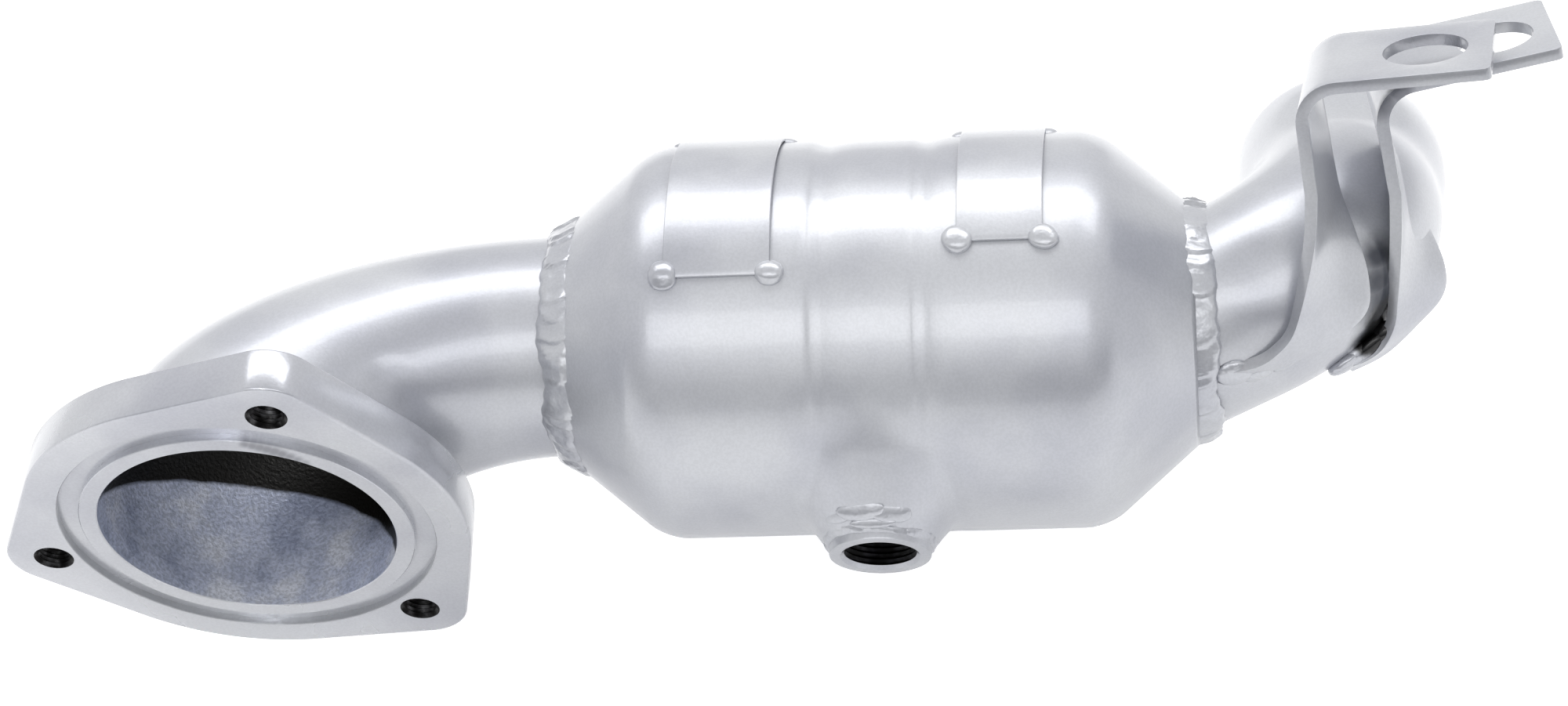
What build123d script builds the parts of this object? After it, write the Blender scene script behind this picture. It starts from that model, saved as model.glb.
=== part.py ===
from build123d import *
from math import cos, radians, sin, sqrt, tan
import os

os.makedirs("parts", exist_ok=True)

# Catalytic converter, mm. The origin is the centre of the inlet flange's joint face,
# +X runs along the can toward the outlet, +Z is up.

# Driving dimensions: where the can lies from the inlet flange
flange_to_can_x = 162.8
flange_to_can_axis = 53.6
flange_tilt_angle = 15.5

# Can and cones
can_radius = 50.8
shell_wall = 1.5
front_shoulder_x = -58.4
rear_shoulder_x = 54.9
shoulder_round = 8.0
front_neck_x = -81.4
front_cone_end = 31.6
rear_neck_x = 78.6
rear_cone_end = 30.4
neck_length = 2.2
groove_x = 13.1
groove_width = 7.0
groove_depth = 1.5
band_drop = 0.5

# Inlet flange
flange_thickness = 11.8
flange_radius = 57.0
flange_chamfer = 0.9
bore_radius = 38.0
lip_radius = 42.7
groove_outer_radius = 48.1
gasket_groove_depth = 2.0
bolt_circle_radius = 55.1
bolt_count = 3
bolt_start_angle = 71.3
tap_radius = 4.25
tap_mouth_radius = 5.2
corner_radius = 12.3
socket_depth = 5.0

# Inlet pipe, which widens through its bend
inlet_neck_radius = 28.6
inlet_end_radius = 39.5
inlet_wall = 1.6
inlet_sections = 4
inlet_insertion = 8.0

# Outlet pipe
outlet_radius = 26.0
outlet_wall = 1.6
outlet_entry_x = 76.8
outlet_insertion = 5.0
outlet_lean_angle = 25.3
outlet_roll_angle = 70.3
outlet_drop_angle = 21.8
outlet_bend = 30.0
outlet_corner_gap = 44.2
outlet_tail = 40.0

# Catalyst bricks, mats and end seals
mat_thickness = 4.0
front_brick_start = -54.0
front_brick_end = -19.0
rear_brick_start = 19.0
rear_brick_end = 51.0
seal_width = 3.5

# Oxygen sensor bung
bung_x = -1.9
bung_tilt_angle = 26.1
bung_stand = 9.6
bung_radius = 12.65
bung_bore = 9.05
bung_sink = 0.8
bung_chamfer = 1.2
bung_edge_round = 0.6
boss_base_margin = 4.25
boss_top_margin = 2.35
boss_rise = 3.8
boss_sink = 3.0
bung_bead_height = 2.2
bung_bead_width = 1.6

# Tag plates
tag_thickness = 1.0
tag_standoff = 0.9
front_tag_x = -37.8
front_tag_width = 26.4
front_tag_low_angle = 58.2
front_tag_high_angle = 128.0
rear_tag_x = 31.7
rear_tag_width = 21.2
rear_tag_low_angle = 66.0
rear_tag_high_angle = 125.0
tag_weld_radius = 3.7
tag_weld_height = 5.0
tag_weld_sink = 2.0

# Hanger brackets
bracket_sheet = 3.0
bracket_width = 34.0
front_bracket_at = (-1.5, -14.1, 4.5)
front_bracket_turn_angle = 6.9
front_bracket_lean_angle = 15.1
front_bracket_pitch_angle = 0.0
rear_bracket_at = (23.3, -18.1, -11.4)
rear_bracket_turn_angle = -3.0
rear_bracket_lean_angle = 14.6
rear_bracket_pitch_angle = 4.3
tab_hole_radius = 10.2
tab_hole_inset = 16.0
tab_bend = 10.5
tab_corner_radius = 1.5
tab_end_u = 151.7
tab_end_v = 78.7
tab_corner_u = 104.8
tab_corner_v = 73.9
riser_u = 109.7
riser_v = 44.5

# Weld beads
bead_half_width = 3.4
bead_height = 2.3
bracket_bead_radius = 2.6
seat_gap = 0.05

# Frames derived from the values above
tilt_cos = cos(radians(flange_tilt_angle))
tilt_sin = sin(radians(flange_tilt_angle))
flange_normal = Vector(0, -tilt_cos, -tilt_sin)
can_centre = Vector(flange_to_can_x, 0, 0) - flange_normal * flange_to_can_axis
can_axis = Axis(can_centre, (1, 0, 0))
flange_plane = Plane(origin=(0, 0, 0), x_dir=(1, 0, 0), z_dir=flange_normal)
can_plane = Plane(origin=can_centre, x_dir=(1, 0, 0), z_dir=(0, -1, 0))
across_plane = Plane(origin=can_centre, x_dir=(0, -1, 0), z_dir=(-1, 0, 0))
inner_radius = can_radius - shell_wall
brick_radius = inner_radius - mat_thickness
boss_base_radius = bung_radius + boss_base_margin
boss_top_radius = bung_radius + boss_top_margin
boss_height = can_radius + boss_rise
bung_face = can_radius + bung_stand
bung_root = inner_radius - bung_sink
front_neck_outer = inlet_neck_radius + shell_wall
neck_start = front_neck_x - neck_length


def place(x, y, z):
    """Point given from the centre of the can."""
    return can_centre + Vector(x, y, z)


# Outlet pipe, one tube that leaves the cone at an angle and turns away in one tight bend
lean_angle = radians(outlet_lean_angle)
roll_angle = radians(outlet_roll_angle)
drop_angle = radians(outlet_drop_angle)
outlet_first = Vector(cos(lean_angle), sin(lean_angle) * cos(roll_angle), sin(lean_angle) * sin(roll_angle))
outlet_second = Vector(0, cos(drop_angle), -sin(drop_angle))
outlet_tangent = outlet_bend * tan(radians(outlet_first.get_angle(outlet_second)) / 2)
outlet_entry = place(outlet_entry_x, 0, 0)
outlet_start = outlet_entry - outlet_first * outlet_insertion
outlet_corner = outlet_entry + outlet_first * outlet_corner_gap
outlet_start_plane = Plane(origin=outlet_start, z_dir=outlet_first)
outlet_end = outlet_corner + outlet_second * (outlet_tangent + outlet_tail)

with BuildLine() as outlet_path:
    lead_in = Line(outlet_start, outlet_corner - outlet_first * outlet_tangent)
    turn_away = TangentArc(lead_in @ 1, outlet_corner + outlet_second * outlet_tangent, tangent=lead_in % 1)
    Line(turn_away @ 1, outlet_end)

with BuildPart() as outlet_pipe:
    with BuildSketch(outlet_start_plane):
        Circle(outlet_radius)
        Circle(outlet_radius - outlet_wall, mode=Mode.SUBTRACT)
    sweep(path=outlet_path.line)

# Solid outline of the outlet pipe, used to fit the parts that are welded onto it
with BuildPart() as outlet_envelope:
    with BuildSketch(outlet_start_plane):
        Circle(outlet_radius + seat_gap)
    sweep(path=outlet_path.line)

# Shell, one spun tube with two cones, two sizing grooves and a raised seat for the bung
bung_turn = radians(bung_tilt_angle)
bung_direction = Vector(0, -cos(bung_turn), -sin(bung_turn))
bung_base = place(bung_x, 0, 0)
bung_plane = Plane(origin=bung_base, x_dir=(1, 0, 0), z_dir=bung_direction)

with BuildPart() as bung_seat:
    with BuildSketch(bung_plane.offset(inner_radius - boss_sink)):
        Circle(boss_base_radius)
    with BuildSketch(bung_plane.offset(boss_height)):
        Circle(boss_top_radius)
    loft()
    with Locations(across_plane.offset(-bung_x)):
        Cylinder(inner_radius - band_drop, 3 * boss_base_radius, mode=Mode.SUBTRACT)

with BuildPart() as converter_shell:
    with BuildSketch(can_plane):
        with BuildLine():
            front_neck = Line((neck_start, front_neck_outer), (front_neck_x, front_cone_end))
            front_cone = FilletPolyline(
                front_neck @ 1,
                (front_shoulder_x, can_radius),
                (-groove_x - groove_width / 2, can_radius),
                radius=shoulder_round,
            )
            front_groove = ThreePointArc(
                front_cone @ 1,
                (-groove_x, can_radius - groove_depth),
                (-groove_x + groove_width / 2, can_radius - band_drop),
            )
            band = Line(front_groove @ 1, (groove_x - groove_width / 2, can_radius - band_drop))
            rear_groove = ThreePointArc(
                band @ 1,
                (groove_x, can_radius - groove_depth),
                (groove_x + groove_width / 2, can_radius),
            )
            rear_cone = FilletPolyline(
                rear_groove @ 1,
                (rear_shoulder_x, can_radius),
                (rear_neck_x, rear_cone_end),
                radius=shoulder_round,
            )
            offset(amount=shell_wall, side=Side.RIGHT, closed=True)
        make_face()
    revolve(axis=can_axis)
    add(bung_seat.part)
    with BuildSketch(bung_plane.offset(inner_radius - boss_sink - shell_wall)):
        Circle(boss_base_radius - shell_wall)
    with BuildSketch(bung_plane.offset(boss_height - shell_wall)):
        Circle(boss_top_radius - shell_wall)
    loft(mode=Mode.SUBTRACT)
    with BuildSketch(bung_plane.offset(bung_root - boss_sink)):
        Circle(bung_radius + seat_gap)
    extrude(amount=bung_face - bung_root + boss_sink, mode=Mode.SUBTRACT)
    add(outlet_envelope.part, mode=Mode.SUBTRACT)


# Oxygen sensor bung, a threaded ring that passes through the raised seat
with BuildPart() as oxygen_sensor_bung:
    with BuildSketch(bung_plane.offset(bung_root)):
        Circle(bung_radius)
        Circle(bung_bore, mode=Mode.SUBTRACT)
    extrude(amount=bung_face - bung_root)
    bung_rims = oxygen_sensor_bung.faces().sort_by(Axis(bung_base, bung_direction))[-1].edges()
    chamfer(bung_rims.sort_by(SortBy.RADIUS)[0], length=bung_chamfer)
    fillet(bung_rims.sort_by(SortBy.RADIUS)[-1], radius=bung_edge_round)

with BuildPart() as bung_weld:
    with BuildSketch(Plane(origin=bung_base, x_dir=(1, 0, 0), z_dir=(0, -bung_direction.Z, bung_direction.Y))):
        with BuildLine():
            Polyline(
                (bung_radius + seat_gap, boss_height + seat_gap),
                (bung_radius + seat_gap, boss_height + bung_bead_height),
                (bung_radius + bung_bead_width, boss_height + bung_bead_height / 2),
                (boss_top_radius, boss_height + seat_gap),
                close=True,
            )
        make_face()
    revolve(axis=Axis(bung_base, bung_direction))

# Inlet flange, a plate whose outline wraps the port and the three bolt bosses
with BuildPart() as inlet_flange:
    with BuildSketch(flange_plane):
        Circle(flange_radius)
        with PolarLocations(bolt_circle_radius, bolt_count, start_angle=bolt_start_angle):
            Circle(corner_radius)
        make_hull()
    extrude(amount=-flange_thickness)
    front_face = inlet_flange.faces().sort_by(Axis((0, 0, 0), flange_normal))[-1]
    chamfer(front_face.edges(), length=flange_chamfer)
    with BuildSketch(flange_plane):
        Circle(bore_radius)
    extrude(amount=-flange_thickness, mode=Mode.SUBTRACT)
    with BuildSketch(flange_plane.offset(-flange_thickness)):
        Circle(inlet_end_radius + seat_gap)
    extrude(amount=socket_depth, mode=Mode.SUBTRACT)
    with BuildSketch(flange_plane):
        Circle(groove_outer_radius)
        Circle(lip_radius, mode=Mode.SUBTRACT)
    extrude(amount=-gasket_groove_depth, mode=Mode.SUBTRACT)
    with Locations(flange_plane):
        with PolarLocations(bolt_circle_radius, bolt_count, start_angle=bolt_start_angle):
            CounterSinkHole(tap_radius, tap_mouth_radius, counter_sink_angle=90)

# Inlet pipe, lofted through circles that widen and turn from the cone to the flange
bend_plane = Plane(origin=place(neck_start, 0, 0), x_dir=(-1, 0, 0), z_dir=(0, -tilt_sin, tilt_cos))
bend_across = flange_to_can_x + neck_start
bend_along = flange_to_can_axis - flange_thickness


def elbow_section(share, growth):
    """Plane and radius of the elbow's cross-section at a share of its quarter turn."""
    turn = radians(90 * share)
    half_x = (inlet_end_radius - growth) * sin(turn)
    half_y = (inlet_neck_radius - growth) * cos(turn)
    middle = bend_plane.from_local_coords((bend_across * sin(turn), bend_along * (1 - cos(turn)), 0))
    outer_side = bend_plane.x_dir * half_x - bend_plane.y_dir * half_y
    ahead = bend_plane.x_dir * half_y + bend_plane.y_dir * half_x
    return Plane(origin=middle, x_dir=outer_side, z_dir=ahead), sqrt(half_x**2 + half_y**2)


with BuildPart() as inlet_pipe:
    for growth, mode in ((0, Mode.ADD), (inlet_wall, Mode.SUBTRACT)):
        for step in range(inlet_sections):
            section_plane, section_radius = elbow_section(step / (inlet_sections - 1), growth)
            with BuildSketch(section_plane):
                Circle(section_radius)
        loft(mode=mode)
    with BuildSketch(elbow_section(0, 0)[0]):
        Circle(inlet_neck_radius)
        Circle(inlet_neck_radius - inlet_wall, mode=Mode.SUBTRACT)
    extrude(amount=-inlet_insertion)
    with BuildSketch(elbow_section(1, 0)[0]):
        Circle(inlet_end_radius)
        Circle(inlet_end_radius - inlet_wall, mode=Mode.SUBTRACT)
    extrude(amount=socket_depth)

# Solid outline of the inlet pipe, used to fit the beads welded onto it
with BuildPart() as inlet_envelope:
    for step in range(inlet_sections):
        section_plane, section_radius = elbow_section(step / (inlet_sections - 1), -seat_gap)
        with BuildSketch(section_plane):
            Circle(section_radius)
    loft()
    with BuildSketch(elbow_section(0, 0)[0]):
        Circle(inlet_neck_radius + seat_gap)
    extrude(amount=-inlet_insertion)
    with BuildSketch(elbow_section(1, 0)[0]):
        Circle(inlet_end_radius + seat_gap)
    extrude(amount=flange_thickness)

# Weld beads around the two cone necks and behind the flange
with BuildPart() as inlet_cone_weld:
    with BuildSketch(can_plane):
        with Locations((neck_start + 0.6, front_neck_outer - 0.6)):
            Ellipse(bead_half_width, bead_height)
    revolve(axis=can_axis)
    add(converter_shell.part, mode=Mode.SUBTRACT)
    add(inlet_envelope.part, mode=Mode.SUBTRACT)

with BuildPart() as outlet_cone_weld:
    with BuildSketch(can_plane):
        with Locations((rear_neck_x + seat_gap, rear_cone_end - shell_wall)):
            Ellipse(bead_half_width + 0.8, bead_height + 1.0)
            Rectangle(2 * bead_half_width, 4 * bead_height, align=(Align.MAX, Align.CENTER), mode=Mode.SUBTRACT)
    revolve(axis=can_axis)
    add(outlet_envelope.part, mode=Mode.SUBTRACT)

with BuildPart() as inlet_flange_weld:
    with BuildSketch(Plane(origin=(0, 0, 0), x_dir=(1, 0, 0), z_dir=(0, tilt_sin, -tilt_cos))):
        with Locations((inlet_end_radius + 0.4, -flange_thickness - 0.4)):
            Ellipse(bead_height, bead_half_width)
    revolve(axis=Axis((0, 0, 0), flange_normal))
    add(inlet_flange.part, mode=Mode.SUBTRACT)
    add(inlet_envelope.part, mode=Mode.SUBTRACT)

# Catalyst bricks inside their mats, with a wire mesh seal at each end of each mat
with BuildPart() as front_catalyst_brick:
    with BuildSketch(across_plane.offset(-front_brick_end)):
        Circle(brick_radius)
    extrude(amount=front_brick_end - front_brick_start)

with BuildPart() as rear_catalyst_brick:
    with BuildSketch(across_plane.offset(-rear_brick_end)):
        Circle(brick_radius)
    extrude(amount=rear_brick_end - rear_brick_start)

with BuildPart() as front_support_mat:
    with BuildSketch(across_plane.offset(seal_width - front_brick_end)):
        Circle(inner_radius)
        Circle(brick_radius, mode=Mode.SUBTRACT)
    extrude(amount=front_brick_end - front_brick_start - 2 * seal_width)

with BuildPart() as rear_support_mat:
    with BuildSketch(across_plane.offset(seal_width - rear_brick_end)):
        Circle(inner_radius)
        Circle(brick_radius, mode=Mode.SUBTRACT)
    extrude(amount=rear_brick_end - rear_brick_start - 2 * seal_width)

with BuildPart() as mat_end_seals:
    for seal_end in (front_brick_end, front_brick_start + seal_width, rear_brick_end, rear_brick_start + seal_width):
        with BuildSketch(across_plane.offset(-seal_end)):
            Circle(inner_radius)
            Circle(brick_radius, mode=Mode.SUBTRACT)
        extrude(amount=seal_width)


# Tag plates, bowed off the can between their welded ends
def tag_point(angle, radius):
    """Point of the can's cross-section, the angle measured up from -Y."""
    return (radius * cos(radians(angle)), radius * sin(radians(angle)))


def tag_corners(tag_x, width, low, high):
    """Planes at the four welded corners of a tag plate, normals pointing outward."""
    for side in (-0.5, 0.5):
        for angle in (low, high):
            outward = Vector(0, -cos(radians(angle)), sin(radians(angle)))
            seat = place(tag_x + side * width, 0, 0) + outward * (can_radius - tag_weld_sink)
            yield Plane(origin=seat, x_dir=(1, 0, 0), z_dir=outward)


front_tag = (front_tag_x, front_tag_width, front_tag_low_angle, front_tag_high_angle)
rear_tag = (rear_tag_x, rear_tag_width, rear_tag_low_angle, rear_tag_high_angle)
seat_radius = can_radius + seat_gap
seated = (Align.CENTER, Align.CENTER, Align.MIN)

with BuildPart() as front_tag_plate:
    tag_x, width, low, high = front_tag
    with BuildSketch(across_plane.offset(-tag_x - width / 2)):
        with BuildLine():
            ThreePointArc(
                tag_point(low, seat_radius),
                tag_point((low + high) / 2, seat_radius + tag_standoff),
                tag_point(high, seat_radius),
            )
            offset(amount=tag_thickness, side=Side.RIGHT, closed=True)
        make_face()
    extrude(amount=width)

with BuildPart() as rear_tag_plate:
    tag_x, width, low, high = rear_tag
    with BuildSketch(across_plane.offset(-tag_x - width / 2)):
        with BuildLine():
            ThreePointArc(
                tag_point(low, seat_radius),
                tag_point((low + high) / 2, seat_radius + tag_standoff),
                tag_point(high, seat_radius),
            )
            offset(amount=tag_thickness, side=Side.RIGHT, closed=True)
        make_face()
    extrude(amount=width)

with BuildPart() as front_tag_welds:
    with Locations(*tag_corners(*front_tag)):
        Cone(tag_weld_radius, tag_weld_radius / 2, tag_weld_height, align=seated)
    with Locations(across_plane):
        Cylinder(can_radius, 4 * can_radius, mode=Mode.SUBTRACT)
    add(front_tag_plate.part, mode=Mode.SUBTRACT)

with BuildPart() as rear_tag_welds:
    with Locations(*tag_corners(*rear_tag)):
        Cone(tag_weld_radius, tag_weld_radius / 2, tag_weld_height, align=seated)
    with Locations(across_plane):
        Cylinder(can_radius, 4 * can_radius, mode=Mode.SUBTRACT)
    add(rear_tag_plate.part, mode=Mode.SUBTRACT)

# Hanger brackets, one stamping used twice. Its own frame has u along the tab, v up the riser
# and the sheet's width running away from the near edge
def bracket_frame(at, turn, lean, pitch):
    """Frame of a bracket's near edge, seated from the centre of the can."""
    turn, lean, pitch = radians(turn), radians(lean), radians(pitch)
    level_up = Vector(0, sin(lean), cos(lean))
    away = Vector(sin(turn), cos(turn) * cos(lean), -cos(turn) * sin(lean))
    along = level_up.cross(-away) * cos(pitch) + level_up * sin(pitch)
    return Plane(origin=place(*at), x_dir=along, z_dir=-away)


front_bracket_plane = bracket_frame(front_bracket_at, front_bracket_turn_angle, front_bracket_lean_angle, front_bracket_pitch_angle)
rear_bracket_plane = bracket_frame(rear_bracket_at, rear_bracket_turn_angle, rear_bracket_lean_angle, rear_bracket_pitch_angle)

# The foot is a twisted strip: near edge (u, v), far edge (u, v, depth), from riser to toe
foot_stations = (
    (riser_u, riser_v + 1, riser_u, riser_v + 1, bracket_width),
    (109.4, 34.0, 112.8, 36.5, 26.5),
    (108.0, 24.0, 119.6, 24.0, 18.5),
    (105.8, 13.5, 121.4, 11.0, 14.6),
    (102.4, 6.2, 112.6, 3.2, 8.2),
    (96.5, 1.6, 98.6, -2.4, 3.4),
    (88.0, -1.0, 88.8, -4.4, 2.8),
)


def foot_section(plane, number):
    """Plane and width of one station of the foot."""
    edges = []
    for u, v, far_u, far_v, depth in foot_stations[max(number - 1, 0):number + 2]:
        near = plane.from_local_coords((u, v, 0))
        edges.append((near, plane.from_local_coords((far_u, far_v, -depth))))
    u, v, far_u, far_v, depth = foot_stations[number]
    near = plane.from_local_coords((u, v, 0))
    across = plane.from_local_coords((far_u, far_v, -depth)) - near
    ahead = (edges[-1][0] + edges[-1][1]) - (edges[0][0] + edges[0][1])
    if number == 0:
        ahead = -plane.y_dir
    square = across.cross(ahead).cross(across)
    return Plane(origin=near, x_dir=across, z_dir=square), across.length


def hanger_bracket(plane):
    """One bracket stamping standing on the given frame."""
    with BuildPart() as bracket:
        with BuildSketch(plane):
            with BuildLine():
                FilletPolyline(
                    (riser_u - bracket_sheet / 2, riser_v),
                    (tab_corner_u, tab_corner_v),
                    (tab_end_u, tab_end_v),
                    radius=tab_bend,
                )
                offset(amount=bracket_sheet, side=Side.RIGHT, closed=True)
            make_face()
        extrude(amount=-bracket_width)
        tab_corners = bracket.edges().filter_by(lambda e: abs(e.length - bracket_sheet) < 0.01)
        tab_corners = tab_corners.sort_by(Axis(plane.origin, plane.x_dir))[-2:]
        fillet(tab_corners, radius=tab_corner_radius)
        for number in range(len(foot_stations)):
            section_plane, section_width = foot_section(plane, number)
            with BuildSketch(section_plane):
                Rectangle(section_width, bracket_sheet, align=(Align.MIN, Align.CENTER))
        loft()
        tab_slope = Vector(tab_end_u - tab_corner_u, tab_end_v - tab_corner_v).normalized()
        hole_u = tab_end_u - tab_hole_inset * tab_slope.X
        hole_v = tab_end_v - tab_hole_inset * tab_slope.Y
        hole_centre = plane.from_local_coords((hole_u, hole_v, -bracket_width / 2))
        tab_normal = plane.y_dir * tab_slope.X - plane.x_dir * tab_slope.Y
        with BuildSketch(Plane(origin=hole_centre, x_dir=plane.z_dir, z_dir=tab_normal)):
            Circle(tab_hole_radius)
        extrude(amount=2 * bracket_sheet, both=True, mode=Mode.SUBTRACT)
        add(outlet_envelope.part, mode=Mode.SUBTRACT)
    return bracket


def bracket_welds(plane, bracket):
    """Weld lumps along the foot's lower edge and at its toe."""
    with BuildPart() as lumps:
        for u, v, far_u, far_v, depth in foot_stations[3:]:
            seat = plane.from_local_coords((far_u, far_v, -depth))
            with Locations(seat):
                Sphere(bracket_bead_radius)
        add(bracket.part, mode=Mode.SUBTRACT)
        add(outlet_envelope.part, mode=Mode.SUBTRACT)
    return lumps


front_hanger_bracket = hanger_bracket(front_bracket_plane)
rear_hanger_bracket = hanger_bracket(rear_bracket_plane)
front_bracket_welds = bracket_welds(front_bracket_plane, front_hanger_bracket)
rear_bracket_welds = bracket_welds(rear_bracket_plane, rear_hanger_bracket)

pieces = {
    "inlet_flange": inlet_flange,
    "inlet_flange_weld": inlet_flange_weld,
    "inlet_pipe": inlet_pipe,
    "inlet_cone_weld": inlet_cone_weld,
    "converter_shell": converter_shell,
    "front_catalyst_brick": front_catalyst_brick,
    "rear_catalyst_brick": rear_catalyst_brick,
    "front_support_mat": front_support_mat,
    "rear_support_mat": rear_support_mat,
    "mat_end_seals": mat_end_seals,
    "oxygen_sensor_bung": oxygen_sensor_bung,
    "bung_weld": bung_weld,
    "front_tag_plate": front_tag_plate,
    "front_tag_welds": front_tag_welds,
    "rear_tag_plate": rear_tag_plate,
    "rear_tag_welds": rear_tag_welds,
    "outlet_pipe": outlet_pipe,
    "outlet_cone_weld": outlet_cone_weld,
    "front_hanger_bracket": front_hanger_bracket,
    "rear_hanger_bracket": rear_hanger_bracket,
    "front_bracket_welds": front_bracket_welds,
    "rear_bracket_welds": rear_bracket_welds,
}
for name, piece in pieces.items():
    piece.part.label = name
    export_step(piece.part, f"parts/{name}.step")
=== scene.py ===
from math import acos, atan2, cos, hypot, pi, radians, sin, sqrt, tan

import bmesh
import bpy
from bpy.props import FloatProperty, PointerProperty, StringProperty
from mathutils import Matrix, Vector


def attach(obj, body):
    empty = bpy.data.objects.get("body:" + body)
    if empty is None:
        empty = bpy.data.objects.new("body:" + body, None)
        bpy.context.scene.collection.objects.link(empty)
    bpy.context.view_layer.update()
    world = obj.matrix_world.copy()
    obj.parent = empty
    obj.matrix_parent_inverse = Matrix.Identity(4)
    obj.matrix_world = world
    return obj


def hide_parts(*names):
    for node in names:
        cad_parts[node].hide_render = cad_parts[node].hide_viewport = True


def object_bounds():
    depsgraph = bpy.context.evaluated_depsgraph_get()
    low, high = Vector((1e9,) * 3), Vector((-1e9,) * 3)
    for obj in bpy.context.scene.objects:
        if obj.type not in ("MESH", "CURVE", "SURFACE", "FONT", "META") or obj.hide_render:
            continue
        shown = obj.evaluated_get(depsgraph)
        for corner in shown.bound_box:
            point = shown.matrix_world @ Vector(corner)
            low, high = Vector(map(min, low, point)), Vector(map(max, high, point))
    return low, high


bl_info = {
    "name": "Catalytic converter dresser",
    "version": (1, 0, 0),
    "blender": (4, 5, 0),
    "location": "3D View > Sidebar > Converter",
    "description": "Builds a painted catalytic converter: flange, elbow, can, outlet, brackets, welds",
    "category": "Object",
}

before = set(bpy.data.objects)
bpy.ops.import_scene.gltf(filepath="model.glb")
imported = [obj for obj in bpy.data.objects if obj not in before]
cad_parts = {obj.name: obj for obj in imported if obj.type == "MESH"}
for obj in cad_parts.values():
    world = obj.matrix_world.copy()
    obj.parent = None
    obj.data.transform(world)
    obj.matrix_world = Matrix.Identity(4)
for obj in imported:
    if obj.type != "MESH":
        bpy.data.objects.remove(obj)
solid_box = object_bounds()

# The mesh code works in millimetres along the part's own axes; close_piece turns it to metres.
X_AXIS, Z_AXIS = Vector((1, 0, 0)), Vector((0, 0, 1))
FLANGE_TO_CAN_X, FLANGE_TO_CAN_AXIS = 162.8, 53.6
FLANGE_TILT = radians(15.5)
FLANGE_NORMAL = Vector((0, -cos(FLANGE_TILT), -sin(FLANGE_TILT)))
CAN = Vector((FLANGE_TO_CAN_X, 0, 0)) - FLANGE_NORMAL * FLANGE_TO_CAN_AXIS
BUNG_TILT = radians(26.1)
BUNG_DIRECTION = Vector((0, -cos(BUNG_TILT), -sin(BUNG_TILT)))
BUNG_ABOVE = Vector((0, -sin(BUNG_TILT), cos(BUNG_TILT)))
BUNG_BASE = CAN + Vector((-1.9, 0, 0))
# where the inlet cone begins, along the can from its middle
CONE_START = -83.6


# Sizes and colours

class ConverterSizes(bpy.types.PropertyGroup):
    """Sizes in millimetres shared by the pieces."""
    can_radius: FloatProperty(
        name="Can radius", description="Outer radius of the can", default=50.8, min=40, max=60)
    band_drop: FloatProperty(
        name="Band drop", description="Depth of the band between the grooves", default=0.5, min=0, max=2)
    groove_depth: FloatProperty(
        name="Groove depth", description="Depth of the two sizing grooves", default=1.6, min=0, max=3)
    pipe_wall: FloatProperty(
        name="Pipe wall", description="Wall of the inlet and outlet pipes", default=1.6, min=1, max=3)
    sheet: FloatProperty(
        name="Bracket sheet", description="Thickness of the brackets' steel", default=3.0, min=1, max=5)
    ripple_pitch: FloatProperty(
        name="Ripple pitch", description="Length of one pass of a weld bead", default=7.0, min=2, max=20)


class ConverterColours(bpy.types.PropertyGroup):
    """Colours of the finishes, written as sRGB hex."""
    paint: StringProperty(name="Paint", description="Silver heat paint", default="c6c8cd")
    paint_shade: StringProperty(
        name="Paint shade", description="Thin or dusty places in the silver paint", default="b3b5bd")
    # both thread colours are kept dark: painted shade in the holes
    bare_steel: StringProperty(name="Bare steel", description="Glints in the cut threads", default="4a4a4c")
    scale: StringProperty(name="Painted thread shade", description="Dark hollows of the cut threads", default="0d0c0c")
    ceramic: StringProperty(name="Ceramic", description="Washcoated honeycomb", default="8f7a5c")
    mat: StringProperty(name="Fibre mat", description="Pressed fibre mat", default="cfc7ab")
    floor: StringProperty(name="Floor", description="Plain pale floor", default="f2f2f2")


def sizes():
    return bpy.context.scene.converter_sizes


def colours():
    return bpy.context.scene.converter_colours


# Materials

def linear(hex_colour):
    """Linear RGBA of an sRGB hex colour."""
    channels = [int(hex_colour[i:i + 2], 16) / 255 for i in (0, 2, 4)]
    return [c / 12.92 if c <= 0.04045 else ((c + 0.055) / 1.055) ** 2.4 for c in channels] + [1.0]


def set_sockets(tree, shader, links, values):
    """Links some sockets of a node and gives others their fixed values."""
    for name, value in values.items():
        shader.inputs[name].default_value = value
    for name, source in links.items():
        tree.links.new(source, shader.inputs[name])


def node(tree, kind, settings=None, links=None, values=None):
    """Adds one shader node with its settings, its linked sockets and its fixed values."""
    made = tree.nodes.new(kind)
    for name, value in (settings or {}).items():
        setattr(made, name, value)
    set_sockets(tree, made, links or {}, values or {})
    return made


def ramp(tree, source, stops):
    """Colour ramp through (position, colour) stops."""
    made = node(tree, "ShaderNodeValToRGB", links={"Fac": source})
    while len(made.color_ramp.elements) < len(stops):
        made.color_ramp.elements.new(0.5)
    made.color_ramp.interpolation = "EASE"
    for element, (position, colour) in zip(made.color_ramp.elements, stops):
        element.position = position
        element.color = colour if len(colour) == 4 else list(colour) + [1]
    return made.outputs["Color"]


def new_material(name):
    material = bpy.data.materials.new(name)
    material.use_nodes = True
    tree = material.node_tree
    return material, tree, tree.nodes["Principled BSDF"], node(tree, "ShaderNodeTexCoord").outputs["Object"]


def multiply(tree, first, second):
    mixed = node(tree, "ShaderNodeMix", {"data_type": "RGBA", "blend_type": "MULTIPLY"},
                 {6: first, 7: second}, {0: 1.0})
    return mixed.outputs[2]


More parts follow.
